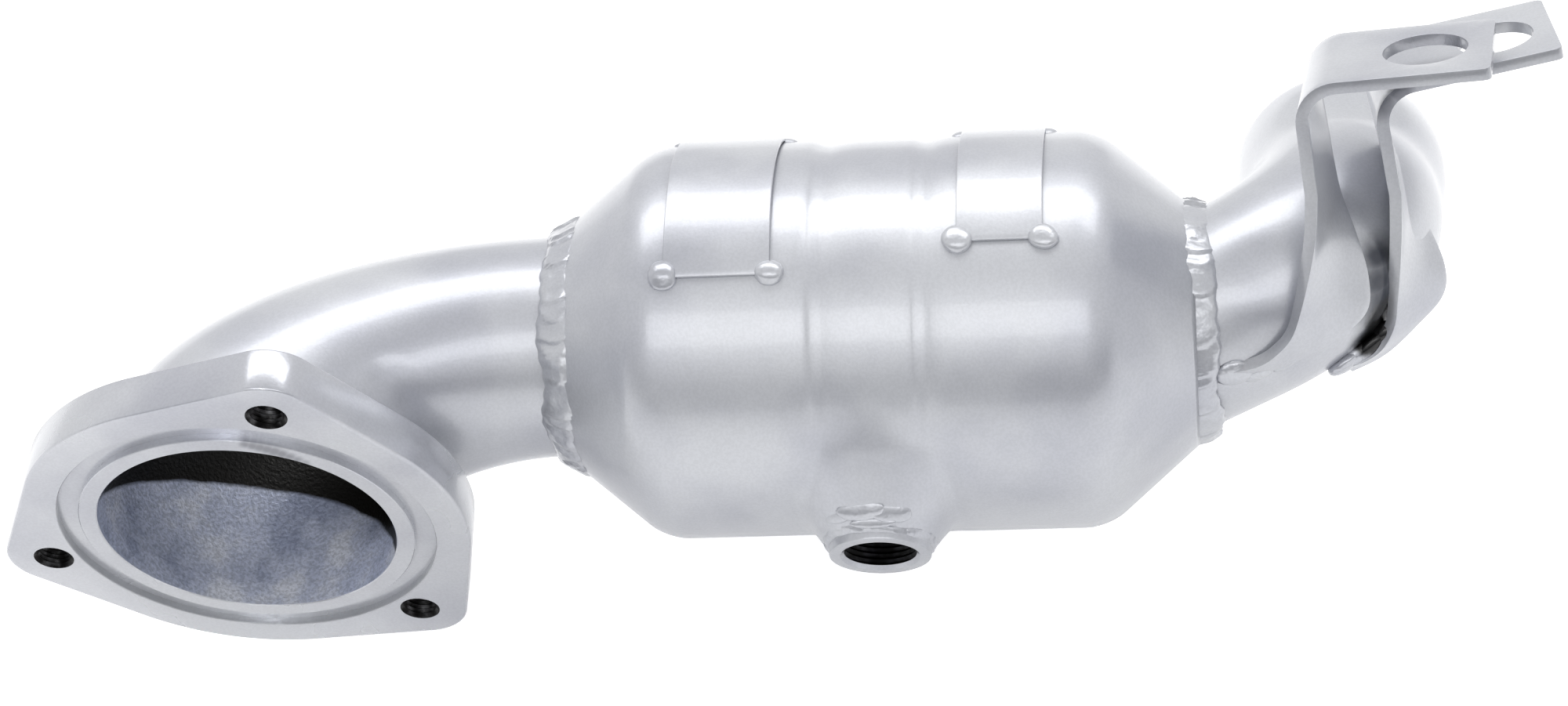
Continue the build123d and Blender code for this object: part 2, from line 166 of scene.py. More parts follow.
def near_spots(tree, place, spots, softness):
    """Mask, 1 at a few spots (x, y, z, radius in mm) and 0 away from them, with a ragged fading edge."""
    rag = node(tree, "ShaderNodeTexNoise", links={"Vector": place}, values={"Scale": 240.0, "Detail": 3.0})
    rag_share, reach = 0.25, 1.12
    total = None
    for x, y, z, radius in spots:
        far = node(tree, "ShaderNodeVectorMath", {"operation": "DISTANCE"}, {0: place},
                   {1: (x / 1000, y / 1000, z / 1000)})
        share = node(tree, "ShaderNodeMath", {"operation": "MULTIPLY"}, {0: far.outputs["Value"]},
                     {1: 1000 / radius})
        rough = node(tree, "ShaderNodeMath", {"operation": "MULTIPLY_ADD"},
                     {0: rag.outputs["Fac"], 2: share.outputs[0]}, {1: rag_share})
        inside = node(tree, "ShaderNodeMapRange", {"interpolation_type": "SMOOTHSTEP"},
                      {"Value": rough.outputs[0]},
                      {"From Min": reach - softness, "From Max": reach, "To Min": 1.0, "To Max": 0.0}
                      ).outputs["Result"]
        if total:
            inside = node(tree, "ShaderNodeMath", {"operation": "MAXIMUM"}, {0: total, 1: inside}).outputs[0]
        total = inside
    return total


def blend(tree, mask, plain, spotted):
    """Mixes two colours by a mask; each is a socket or a fixed colour."""
    mixed = node(tree, "ShaderNodeMix", {"data_type": "RGBA"}, {0: mask})
    for number, source in ((6, plain), (7, spotted)):
        if isinstance(source, bpy.types.NodeSocket):
            tree.links.new(source, mixed.inputs[number])
        else:
            mixed.inputs[number].default_value = source
    return mixed.outputs[2]


def silver_paint(name, roughness, lumps=0.0, tone=1.0, darkened=()):
    """Sprayed silver heat paint on steel: fine flake, an even satin gloss, faintly mottled.
    It is darker at the listed spots: where the paint is worn, and where shade is painted on."""
    material, tree, shader, place = new_material(name)
    cloud = node(tree, "ShaderNodeTexNoise", links={"Vector": place}, values={"Scale": 26.0, "Detail": 3.0})
    # flakes are about 0.05 mm; they are drawn at 0.7 mm so that they show
    flake = node(tree, "ShaderNodeTexNoise", links={"Vector": place}, values={"Scale": 1400.0, "Detail": 2.0})
    shade, light = ([c * tone for c in linear(hue)[:3]] for hue in (colours().paint_shade, colours().paint))
    tint = ramp(tree, cloud.outputs["Fac"], [(0.3, shade), (0.66, light)])
    speck = ramp(tree, flake.outputs["Fac"], [(0.35, (0.94, 0.94, 0.94)), (0.65, (1, 1, 1))])
    coat = multiply(tree, tint, speck)
    # darker spots: worn paint, and painted shade where little light falls
    for spots, colour, softness in darkened:
        coat = blend(tree, near_spots(tree, place, spots, softness), coat, linear(colour))
    shine = node(tree, "ShaderNodeMapRange", links={"Value": cloud.outputs["Fac"]},
                 values={"From Min": 0.15, "From Max": 0.85,
                         "To Min": roughness - 0.06, "To Max": roughness + 0.08})
    bump = node(tree, "ShaderNodeBump", links={"Height": flake.outputs["Fac"]},
                values={"Strength": 0.12, "Distance": 0.0002})
    if lumps:
        wave = node(tree, "ShaderNodeTexNoise", links={"Vector": place},
                    values={"Scale": 330.0, "Detail": 2.0})
        bump = node(tree, "ShaderNodeBump",
                    links={"Height": wave.outputs["Fac"], "Normal": bump.outputs["Normal"]},
                    values={"Strength": 0.6, "Distance": lumps})
    set_sockets(tree, shader, {"Base Color": coat, "Roughness": shine.outputs["Result"],
                               "Normal": bump.outputs["Normal"]},
                {"Metallic": 0.6, "Coat Weight": 0.7, "Coat Roughness": 0.09})
    return material


def pipe_inside():
    """Overspray inside the pipe: blue-grey blotches, dull and gritty, with a near-black painted shadow beyond
    a slanting plane.
    """
    material, tree, shader, place = new_material("overspray_with_painted_shadow")
    blotch = node(tree, "ShaderNodeTexNoise", links={"Vector": place},
                  values={"Scale": 45.0, "Detail": 5.0, "Roughness": 0.6})
    grit = node(tree, "ShaderNodeTexNoise", links={"Vector": place}, values={"Scale": 1100.0, "Detail": 3.0})
    tint = ramp(tree, blotch.outputs["Fac"],
                [(0.36, linear("9aa2ba")), (0.5, linear("bcc3d8")), (0.66, linear("d8dce8"))])
    speck = ramp(tree, grit.outputs["Fac"], [(0.35, (0.75, 0.75, 0.75)), (0.62, (1, 1, 1))])
    # painted shadow: beyond a slanting plane through the pipe, where the flange's upper rim shades it, the
    # colour turns near-black
    reach = node(tree, "ShaderNodeVectorMath", {"operation": "DOT_PRODUCT"}, {0: place},
                 {1: (326, 723, 1134)})
    edge = node(tree, "ShaderNodeMath", {"operation": "MULTIPLY_ADD"},
                {0: blotch.outputs["Fac"], 2: reach.outputs["Value"]}, {1: 4.0})
    darkened = node(tree, "ShaderNodeMapRange", links={"Value": edge.outputs[0]},
                  values={"From Min": 2.2, "From Max": 3.6})
    # near-black painted shadow past the plane
    coat = blend(tree, darkened.outputs["Result"], multiply(tree, tint, speck), linear("100f0d"))
    bump = node(tree, "ShaderNodeBump", links={"Height": grit.outputs["Fac"]},
                values={"Strength": 0.5, "Distance": 0.0004})
    set_sockets(tree, shader, {"Base Color": coat, "Normal": bump.outputs["Normal"]},
                {"Metallic": 0.4, "Roughness": 0.45})
    return material


def thread_steel(name, dark, light):
    """Machined steel left bare in the threads, with sharp glints; its near-black colours are painted shade in
    the holes.
    """
    material, tree, shader, place = new_material(name)
    soot = node(tree, "ShaderNodeTexNoise", links={"Vector": place}, values={"Scale": 400.0, "Detail": 4.0})
    tint = ramp(tree, soot.outputs["Fac"], [(0.4, linear(dark)), (0.75, linear(light))])
    set_sockets(tree, shader, {"Base Color": tint}, {"Metallic": 0.9, "Roughness": 0.3})
    return material


def honeycomb_ceramic():
    """Washcoated cordierite honeycomb: matt tan cells, drawn at their real 1.3 mm."""
    material, tree, shader, place = new_material("cordierite_honeycomb")
    cells = node(tree, "ShaderNodeTexChecker", links={"Vector": place},
                 values={"Scale": 770.0, "Color1": linear(colours().ceramic), "Color2": linear("3a3228")})
    set_sockets(tree, shader, {"Base Color": cells.outputs["Color"]}, {"Roughness": 0.85})
    return material


def fibre_mat():
    """Pressed vermiculite and fibre mat: soft cream felt with gold flecks."""
    material, tree, shader, place = new_material("pressed_fibre_mat")
    felt = node(tree, "ShaderNodeTexNoise", links={"Vector": place}, values={"Scale": 900.0, "Detail": 5.0})
    tint = ramp(tree, felt.outputs["Fac"], [(0.3, linear("a5966d")), (0.6, linear(colours().mat))])
    bump = node(tree, "ShaderNodeBump", links={"Height": felt.outputs["Fac"]},
                values={"Strength": 0.5, "Distance": 0.0003})
    set_sockets(tree, shader, {"Base Color": tint, "Normal": bump.outputs["Normal"]}, {"Roughness": 0.95})
    return material


def wire_mesh_seal():
    """Knitted stainless wire pressed to a ring: grey, ribbed about every 2.4 mm."""
    material, tree, shader, place = new_material("knitted_wire_seal")
    ribs = node(tree, "ShaderNodeTexWave", links={"Vector": place},
                values={"Scale": 130.0, "Distortion": 3.0, "Detail": 2.0})
    tint = ramp(tree, ribs.outputs["Fac"], [(0.2, linear("4c4c4e")), (0.8, linear("a3a3a6"))])
    set_sockets(tree, shader, {"Base Color": tint}, {"Metallic": 1.0, "Roughness": 0.42})
    return material


def pale_board():
    """Matt white board: white to the camera and in reflections, and it still takes the object's shadow."""
    material, tree, shader, _ = new_material("matt_white_board")
    rays = node(tree, "ShaderNodeLightPath")
    seen_lift, lift = 0.4, 0.2
    glow = node(tree, "ShaderNodeMath", {"operation": "MULTIPLY_ADD"}, {0: rays.outputs["Is Camera Ray"]},
                {1: seen_lift, 2: lift})
    set_sockets(tree, shader, {"Emission Strength": glow.outputs[0]},
                {"Base Color": linear(colours().floor), "Roughness": 0.9, "Emission Color": (1, 1, 1, 1)})
    return material


# Darkened places: spots (x, y, z, radius in mm), colour and fade.
# The first is paint worn off along the lip between the port and the gasket groove; the others, behind the
# brackets, are painted shade.
LIP_WEAR = (([(x, 0.04 * x - 10.6, 41.1 - 0.022 * x * x, 3.2 - 0.12 * abs(x - 16))
              for x in (9.5, 11.2, 12.8, 14.4, 16.0, 17.6, 19.2, 20.8, 22.4)], "84858c", 0.8),)
# painted shade on the outlet pipe between the two brackets: dark grey, and black in the deepest gap by the
# rear foot
SHADED_PIPE = (
    (((287.0, 47.5, 38.0, 9.0), (287.0, 45.0, 32.0, 11.0), (288.0, 44.0, 27.0, 13.0),
      (288.0, 43.5, 19.5, 12.0), (283.5, 41.5, 17.0, 7.5)), "30343f", 0.9),
    (((288.5, 44.5, 20.0, 8.0), (286.0, 43.5, 15.5, 6.5), (283.6, 42.8, 14.0, 4.2)), "0b0b0d", 0.4),
)
# painted shade on the rear strap's upper bend, under the tabs
SHADED_STRAP = ((((289.0, 56.5, 77.0, 6.0), (292.5, 60.0, 79.5, 5.0)), "70727a", 0.7),)

# Silver finishes: the material's name, its roughness and what else sets it apart
SILVER_FINISHES = {
    "silver_paint": ("silver_heat_paint", 0.36, {}),
    "machined_paint": ("silver_paint_on_machined_steel", 0.3, {"tone": 0.95}),
    "flange_paint": ("silver_paint_worn_at_the_lip", 0.24, {"tone": 0.97, "darkened": LIP_WEAR}),
    # the outlet pipe takes the painted shade behind the brackets
    "outlet_paint": ("silver_paint_with_painted_shade_behind_brackets", 0.36, {"darkened": SHADED_PIPE}),
    # the straps take the painted shade at the rear strap's upper bend
    "strap_paint": ("silver_paint_on_sheet", 0.36, {"darkened": SHADED_STRAP}),
    # the sheet's cut edges: a darker copy of the strap paint, painted shade, with the strap's painted shade
    # as well
    "edge_paint": ("painted_shade_on_sheared_edge", 0.3, {"tone": 0.8, "darkened": SHADED_STRAP}),
    # the rear bracket's welds in that gap take the black painted shade
    "bracket_weld_paint": ("silver_paint_on_bracket_weld", 0.28,
                           {"lumps": 0.0008, "darkened": SHADED_PIPE[1:]}),
    "weld_paint": ("silver_paint_on_weld", 0.3, {"lumps": 0.0005, "tone": 0.98}),
    # the gasket groove's outer wall: a darker copy of the paint, painted shade in the groove
    "groove_wall": ("painted_shade_on_groove_wall", 0.3, {"lumps": 0.0004, "tone": 0.7}),
}


def finish(name):
    """A finish by name, made the first time it is asked for."""
    makers = {
        "pipe_inside": pipe_inside,
        # both thread finishes are near-black: painted shade in the flange's holes and deep in the bung
        "thread_steel": lambda: thread_steel("machined_steel_thread", colours().scale, colours().bare_steel),
        "bung_thread": lambda: thread_steel("steel_thread_painted_shade", "070707", "26262a"),
        "honeycomb": honeycomb_ceramic,
        "fibre_mat": fibre_mat,
        "wire_mesh": wire_mesh_seal,
        "board": pale_board,
    }
    key = "finish_" + name
    known = bpy.context.scene.get(key)
    if known is None:
        if name in SILVER_FINISHES:
            material_name, roughness, rest = SILVER_FINISHES[name]
            known = silver_paint(material_name, roughness, **rest).name
        else:
            known = makers[name]().name
        bpy.context.scene[key] = known
    return bpy.data.materials[known]


# Mesh helpers

def wire(bm, points):
    """Open line of edges through a few points."""
    verts = [bm.verts.new(p) for p in points]
    for pair in zip(verts, verts[1:]):
        bm.edges.new(pair)
    return verts


def round_corners(bm, corners, offset, segments):
    bmesh.ops.bevel(bm, geom=corners, offset=offset, offset_type="OFFSET", segments=segments, profile=0.5,
                    affect="VERTICES", material=-1)


def split_long(bm, limit):
    """Divides every edge longer than the limit."""
    for edge in bm.edges[:]:
        cuts = int(edge.calc_length() / limit)
        if cuts:
            bmesh.ops.subdivide_edges(bm, edges=[edge], cuts=cuts)


def spin_round(bm, geom, centre, axis, steps):
    bmesh.ops.spin(bm, geom=geom, cent=centre, axis=axis, dvec=(0, 0, 0), angle=2 * pi, steps=steps,
                   use_merge=True)


def hoop(bm, middle, out, across, radius, count):
    """One circle of vertices in the plane of out and across."""
    turn = Matrix((out, across, out.cross(across))).transposed().to_4x4()
    turn.translation = middle
    return bmesh.ops.create_circle(bm, segments=count, radius=radius, matrix=turn)["verts"]


def ring_edges(ring):
    return list({edge for vert in ring for edge in vert.link_edges})


def skin(bm, hoops):
    """Joins neighbouring circles of vertices into one skin."""
    rims = [ring_edges(ring) for ring in hoops]
    for near, far in zip(rims, rims[1:]):
        bmesh.ops.bridge_loops(bm, edges=near + far)


def rim_edges(bm, height):
    """Open edges lying at one height of a mesh that is still in its local frame."""
    return [e for e in bm.edges
            if len(e.link_faces) < 2 and all(abs(v.co.z - height) < 0.001 for v in e.verts)]


def extrude_row(bm, edges):
    """Extrudes a row of edges; gives the new row's vertices and edges."""
    made = bmesh.ops.extrude_edge_only(bm, edges=edges)["geom"]
    return ([g for g in made if isinstance(g, bmesh.types.BMVert)],
            [g for g in made if isinstance(g, bmesh.types.BMEdge)])


def unevenness(point, seed):
    """Small smooth unevenness between about -1 and 1, the same on every run."""
    x, y, z = point
    return (sin(x * 0.9 + seed) * cos(y * 1.1 - seed * 0.7) + sin(z * 1.3 + x * 0.4 + seed * 1.9)
            + 0.6 * sin(y * 2.1 + z * 1.7 + seed * 2.3)) / 2.6


def ease(share):
    share = min(max(share, 0.0), 1.0)
    return share * share * (3 - 2 * share)


def press(bm, dents, toward):
    """Presses shallow round dents: spot, reach and depth of each."""
    for x, y, z, reach, depth in dents:
        spot = Vector((x, y, z))
        inward = (toward(spot) - spot).normalized()
        for vert in bm.verts:
            share = (vert.co - spot).length / reach
            if share < 1:
                vert.co += inward * (depth * (1 - share * share) ** 2)


def local_frame(origin, x_dir, z_dir):
    """Matrix from a frame's own axes to the part's."""
    turn = Matrix((x_dir, z_dir.cross(x_dir), z_dir)).transposed().to_4x4()
    turn.translation = origin
    return turn


def close_piece(bm, name, finishes, stands_for, smooth_angle=32, turn=None,
                flat_along=None):
    """Turns a bmesh in millimetres into a finished piece; faces square to flat_along are shaded flat."""
    if turn:
        bmesh.ops.transform(bm, matrix=turn, verts=bm.verts[:])
    bmesh.ops.remove_doubles(bm, verts=bm.verts[:], dist=0.01)
    bmesh.ops.recalc_face_normals(bm, faces=bm.faces[:])
    bmesh.ops.scale(bm, vec=(0.001, 0.001, 0.001), verts=bm.verts[:])
    for face in bm.faces:
        face.smooth = flat_along is None or abs(face.normal.dot(flat_along)) < 0.9999
    mesh = bpy.data.meshes.new(name)
    bm.to_mesh(mesh)
    bm.free()
    mesh.set_sharp_from_angle(angle=radians(smooth_angle))
    piece = bpy.data.objects.new(name, mesh)
    bpy.context.scene.collection.objects.link(piece)
    for each in finishes:
        mesh.materials.append(finish(each))
    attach(piece, "root")
    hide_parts(*stands_for)
    return piece


def add_wall(piece, thickness, offset=-1.0, inner_finish=0, edge_finish=0):
    wall = piece.modifiers.new("wall", "SOLIDIFY")
    wall.thickness = thickness * 0.001
    wall.offset = offset
    wall.use_even_offset = True
    wall.material_offset, wall.material_offset_rim = inner_finish, max(inner_finish, edge_finish)


def soften_edges(piece, width, segments):
    edge = piece.modifiers.new("rounded_edge", "BEVEL")
    edge.width = width * 0.001
    edge.segments = segments
    edge.limit_method = "ANGLE"
    edge.angle_limit = radians(40)


# Inlet flange

FLANGE_THICKNESS, PLATE_RADIUS = 11.8, 57.0
BOLT_CIRCLE, BOLT_BOSS, BOLT_ANGLES = 55.1, 12.3, (71.3, 191.3, 311.3)
# a thread's mouth, crest and root radii and its pitch
TAP_THREAD = (5.2, 4.25, 4.85, 1.25)
PORT_RADIUS, SOCKET_RADIUS, SOCKET_FLOOR = 38.0, 39.55, -6.8
LIP_RADIUS, GROOVE_RADIUS, GROOVE_FLOOR = 42.7, 48.1, -2.0
# the outline stays this far inside the solid's
OUTLINE_CLEARANCE = 0.03


def flange_reach(angle):
    """Radius of the flange's outline at an angle: a round plate drawn tight round three bolt bosses."""
    touch = acos((PLATE_RADIUS - BOLT_BOSS) / BOLT_CIRCLE)
    boss_end = atan2(BOLT_BOSS * sin(touch), BOLT_CIRCLE + BOLT_BOSS * cos(touch))
    away = min(abs(radians((angle - bolt + 180) % 360 - 180)) for bolt in BOLT_ANGLES)
    if away < boss_end:
        return BOLT_CIRCLE * cos(away) + sqrt(BOLT_BOSS ** 2 - (BOLT_CIRCLE * sin(away)) ** 2)
    if away < touch:
        return PLATE_RADIUS / cos(touch - away)
    return PLATE_RADIUS


def cut_thread(bm, centre, start_z, end_z, thread, steps):
    """Wall of a threaded hole from its countersunk mouth down, as rings; gives its faces."""
    known = set(bm.verts) | set(bm.edges) | set(bm.faces)
    mouth, crest, root, pitch = thread
    z = start_z - (mouth - crest)
    points = [(mouth, 0, start_z), (crest, 0, z)]
    while z - pitch > end_z:
        points += [(root, 0, z - pitch / 2), (crest, 0, z - pitch)]
        z -= pitch
    points.append((crest, 0, end_z))
    bmesh.ops.translate(bm, verts=wire(bm, points), vec=centre)
    spin_round(bm, [g for g in bm.verts[:] + bm.edges[:] if g not in known], centre, (0, 0, 1), steps)
    return [face for face in bm.faces if face not in known]


def build_flange():
    """Machined flange plate with its port, gasket groove and three tapped holes."""
    bm = bmesh.new()
    back, edge, port_edge = -FLANGE_THICKNESS, 0.2, 0.25
    profile = ((SOCKET_RADIUS, back), (SOCKET_RADIUS, SOCKET_FLOOR), (PORT_RADIUS, SOCKET_FLOOR),
               (PORT_RADIUS, -port_edge), (PORT_RADIUS + port_edge, 0), (LIP_RADIUS - edge, 0),
               (LIP_RADIUS, -edge), (LIP_RADIUS, GROOVE_FLOOR), (GROOVE_RADIUS, GROOVE_FLOOR),
               (GROOVE_RADIUS, -edge), (GROOVE_RADIUS + edge, 0))
    port = wire(bm, [(radius, 0, z) for radius, z in profile])
    spin_round(bm, port + bm.edges[:], (0, 0, 0), (0, 0, 1), 240)
    outline = bmesh.ops.create_circle(bm, segments=720, radius=1)["verts"]
    edges = ring_edges(outline)
    # the corner of the face is rounded over 0.9 mm, the back corner over 0.5 mm
    steps = ((-0.9, 0), (-0.42, -0.12), (-0.12, -0.42), (0, -0.9), (0, back + 0.5), (-0.15, back + 0.15),
             (-0.5, back))
    for number, (inset, height) in enumerate(steps):
        if number:
            outline, edges = extrude_row(bm, edges)
        for vert in outline:
            angle = atan2(vert.co.y, vert.co.x)
            reach = flange_reach(angle * 180 / pi) + inset - OUTLINE_CLEARANCE
            vert.co = (reach * cos(angle), reach * sin(angle), height)
    for bolt in BOLT_ANGLES:
        hole = Vector((BOLT_CIRCLE * cos(radians(bolt)), BOLT_CIRCLE * sin(radians(bolt)), 0))
        # the threads take the dark thread colour: painted shade in the holes
        for face in cut_thread(bm, hole, 0, back, TAP_THREAD, 40):
            face.material_index = 1
    for height, normal in ((0, (0, 0, 1)), (back, (0, 0, -1))):
        bmesh.ops.triangle_fill(bm, use_beauty=True, use_dissolve=False, edges=rim_edges(bm, height),
                                normal=normal)
    for face in bm.faces:
        middle = face.calc_center_median()
        out = hypot(middle.x, middle.y)
        if middle.z < -port_edge - 0.05 and out < SOCKET_RADIUS + 0.15 and face.material_index == 0:
            face.material_index = 2
        # the groove's outer wall takes the darker groove paint: painted shade
        if GROOVE_FLOOR + 0.05 < middle.z < -0.05 and abs(out - GROOVE_RADIUS) < 0.15:
            face.material_index = 3
    return close_piece(bm, "machined_inlet_flange",
                       ["flange_paint", "thread_steel", "pipe_inside", "groove_wall"], ["inlet_flange"],
                       turn=local_frame(Vector(), X_AXIS, FLANGE_NORMAL), flat_along=FLANGE_NORMAL)


# Pipes

PIPE_SIDES = 112
NECK_RADIUS, NECK_INSERTION, ELBOW_END_RADIUS, ELBOW_STEPS = 28.6, 8, 39.5, 56
BEND_START = CAN + Vector((CONE_START, 0, 0))
BEND_NORMAL = Vector((0, -sin(FLANGE_TILT), cos(FLANGE_TILT)))
# spot, reach and depth of each dent in mm; the elbow's two were left near the flange's upper corner
# by its bending, the outlet's were pressed in beside the cone's weld when the bracket was fitted
ELBOW_DENTS = ((39.4, 18.8, 32.4, 8.0, 0.8), (43.5, 17.4, 26.5, 7.0, 0.6))
OUTLET_DENTS = ((257.0, 38.0, 42.0, 11.0, 0.5), (257.0, 29.5, 28.0, 11.0, 0.6))


def elbow_place(share):
    """Middle, outer side and radius of the elbow's cross-section at a share of its quarter turn."""
    turn = share * pi / 2
    half_x, half_y = ELBOW_END_RADIUS * sin(turn), NECK_RADIUS * cos(turn)
    middle = (BEND_START - X_AXIS * ((FLANGE_TO_CAN_X + CONE_START) * sin(turn))
              + FLANGE_NORMAL * ((FLANGE_TO_CAN_AXIS - FLANGE_THICKNESS) * (1 - cos(turn))))
    outer = -X_AXIS * half_x - FLANGE_NORMAL * half_y
    return middle, outer.normalized(), hypot(half_x, half_y)


def build_elbow():
    """Inlet pipe that widens through its bend, with overspray inside."""
    bm = bmesh.new()
    hoops = [hoop(bm, BEND_START + X_AXIS * NECK_INSERTION, elbow_place(0)[1], BEND_NORMAL, NECK_RADIUS,
                  PIPE_SIDES)]
    for step in range(ELBOW_STEPS + 1):
        middle, outer, radius = elbow_place(step / ELBOW_STEPS)
        hoops.append(hoop(bm, middle, outer, BEND_NORMAL, radius, PIPE_SIDES))
    end, outer, radius = elbow_place(1)
    for reach in (2.4, 4.7, 4.98):
        hoops.append(hoop(bm, end + FLANGE_NORMAL * reach, outer, BEND_NORMAL, radius, PIPE_SIDES))
    skin(bm, hoops)
    press(bm, ELBOW_DENTS, lambda spot: elbow_place(0.7)[0])
    piece = close_piece(bm, "widening_inlet_elbow", ["silver_paint", "pipe_inside"], ["inlet_pipe"])
    # the wall is a little thin, so that its end hides behind the step in the flange's port
    add_wall(piece, sizes().pipe_wall - 0.4, inner_finish=1)
    return piece


OUTLET_RADIUS, OUTLET_BEND, OUTLET_GAP = 26.0, 30.0, 44.2
OUTLET_LEAN, OUTLET_ROLL, OUTLET_DROP = radians(25.3), radians(70.3), radians(21.8)
OUTLET_FIRST = Vector((cos(OUTLET_LEAN), sin(OUTLET_LEAN) * cos(OUTLET_ROLL),
                       sin(OUTLET_LEAN) * sin(OUTLET_ROLL)))
OUTLET_SECOND = Vector((0, cos(OUTLET_DROP), -sin(OUTLET_DROP)))
OUTLET_ENTRY = CAN + Vector((76.8, 0, 0))
OUTLET_HINGE = OUTLET_FIRST.cross(OUTLET_SECOND).normalized()
OUTLET_TURN = OUTLET_FIRST.angle(OUTLET_SECOND)
OUTLET_TANGENT = OUTLET_BEND * tan(OUTLET_TURN / 2)
OUTLET_START = OUTLET_ENTRY + OUTLET_FIRST * (OUTLET_GAP - OUTLET_TANGENT)
OUTLET_PIVOT = OUTLET_START + OUTLET_HINGE.cross(OUTLET_FIRST) * OUTLET_BEND


def outlet_surface(spot):
    """Nearest point of the outlet pipe's skin to a spot, and the direction out of the pipe there."""
    along = (spot - OUTLET_ENTRY).dot(OUTLET_FIRST)
    if along < OUTLET_GAP - OUTLET_TANGENT:
        middle = OUTLET_ENTRY + OUTLET_FIRST * along
    else:
        away = spot - OUTLET_PIVOT
        middle = OUTLET_PIVOT + (away - OUTLET_HINGE * away.dot(OUTLET_HINGE)).normalized() * OUTLET_BEND
    out = (spot - middle).normalized()
    return middle + out * OUTLET_RADIUS, out


def build_outlet():
    """Outlet pipe: straight out of the cone, one tight bend, then a plain tail."""
    bm = bmesh.new()
    outward = -OUTLET_HINGE.cross(OUTLET_FIRST)
    hoops = [hoop(bm, OUTLET_ENTRY + OUTLET_FIRST * reach, outward, OUTLET_HINGE, OUTLET_RADIUS, PIPE_SIDES)
             for reach in (-5, 0, 8)]
    bend_steps = 40
    for step in range(bend_steps + 1):
        turn = Matrix.Rotation(OUTLET_TURN * step / bend_steps, 3, OUTLET_HINGE)
        middle = OUTLET_PIVOT + turn @ (OUTLET_START - OUTLET_PIVOT)
        hoops.append(hoop(bm, middle, turn @ outward, OUTLET_HINGE, OUTLET_RADIUS, PIPE_SIDES))
    # the tail goes on from the bend's last ring: swollen a little by the bending, then sized back to round
    tail, shift, growth, rounding = 40, Vector((1.4, 0, 2.6)), 1.3, 0.3
    for reach in (3, 6, 9, 12, 15, 18, 21, 24, 27, 30, 32, 34, 36, 37.5, 38.6, 39.4, tail):
        swell = ease(reach / 26) * ease((tail - reach) / 9)
        hoops.append(hoop(bm, middle + OUTLET_SECOND * reach + shift * swell, turn @ outward, OUTLET_HINGE,
                          OUTLET_RADIUS + growth * swell - (rounding if reach == tail else 0), PIPE_SIDES))
    skin(bm, hoops)
    press(bm, OUTLET_DENTS, lambda spot: OUTLET_ENTRY + OUTLET_FIRST * (spot.x - OUTLET_ENTRY.x))
    piece = close_piece(bm, "bent_outlet_pipe", ["outlet_paint", "silver_paint"], ["outlet_pipe"])
    add_wall(piece, sizes().pipe_wall, inner_finish=1)
    return piece


# Can and sensor bung

SHELL_WALL = 1.5
BUNG_RADIUS, BUNG_INNER, BUNG_FACE = 12.9, 48.5, 60.4
# mouth, crest and root radii and pitch, as for the flange's taps
BUNG_THREAD = (10.1, 9.15, 9.75, 1.5)
# the seat drawn up round the bung: its height at the bung, its slope, and where it meets the can
SEAT_HEIGHT, SEAT_SLOPE, SEAT_REACH, SEAT_FADE, SEAT_RUN_OUT = 58.0, 0.95, 22.5, 8.5, 14.0


def raise_seat(vert, radius):
    """Moves a vertex of the can's skin outward near the bung, where the seat is drawn up."""
    rise = (vert.co - BUNG_BASE).dot(BUNG_DIRECTION)
    if rise <= 0:
        return
    away = vert.co - BUNG_BASE - BUNG_DIRECTION * rise
    side = away.length
    # the grooves fade out toward the seat
    out = vert.co - CAN
    out.x = 0
    if abs(vert.co.x - CAN.x) < 30:
        vert.co += out.normalized() * (max(radius - out.length, 0) * ease((31 - side) / 9))
    rise = (vert.co - BUNG_BASE).dot(BUNG_DIRECTION)
    above = max(away.dot(BUNG_ABOVE) / max(side, 0.001), 0) ** 2
    lift = ease((SEAT_REACH + SEAT_RUN_OUT * above - side) / SEAT_FADE)
    gain = SEAT_HEIGHT - SEAT_SLOPE * max(side - BUNG_RADIUS, 0) - rise
    # above the bung the seat's cone runs out into the can, and nothing is pressed in
    vert.co += BUNG_DIRECTION * (gain if gain > 0 else gain * (1 - above)) * lift


def build_shell():
    """Spun can with two cones, two rolled grooves and a seat drawn up round the sensor bung."""
    bm = bmesh.new()
    radius, band = sizes().can_radius, sizes().can_radius - sizes().band_drop
    dip = radius - sizes().groove_depth
    # place along the can, radius there and rounding of the corner
    profile = ((CONE_START, 30.1, 0), (-81.4, 31.6, 0.7), (-58.4, radius, 5.2), (-17.0, radius, 1.4),
               (-14.0, dip, 1.9), (-7.8, band, 3.4), (8.8, band, 1.2), (11.6, dip, 1.7), (17.4, radius, 3.2),
               (54.9, radius, 5.6), (78.6, 30.4, 0))
    verts = wire(bm, [CAN + Vector((x, 0, height)) for x, height, _ in profile])
    for vert, (_, _, rounding) in zip(verts, profile):
        if rounding:
            round_corners(bm, [vert], rounding, 6)
    split_long(bm, 1.5)
    spin_round(bm, bm.verts[:] + bm.edges[:], CAN, X_AXIS, 260)
    for vert in bm.verts:
        raise_seat(vert, radius)
    hole = []
    for face in bm.faces:
        away = face.calc_center_median() - BUNG_BASE
        if away.dot(BUNG_DIRECTION) > 0 and away.cross(BUNG_DIRECTION).length < BUNG_RADIUS - 1.4:
            hole.append(face)
    bmesh.ops.delete(bm, geom=hole, context="FACES")
    piece = close_piece(bm, "grooved_can_shell", ["silver_paint"], ["converter_shell"])
    add_wall(piece, SHELL_WALL)
    return piece


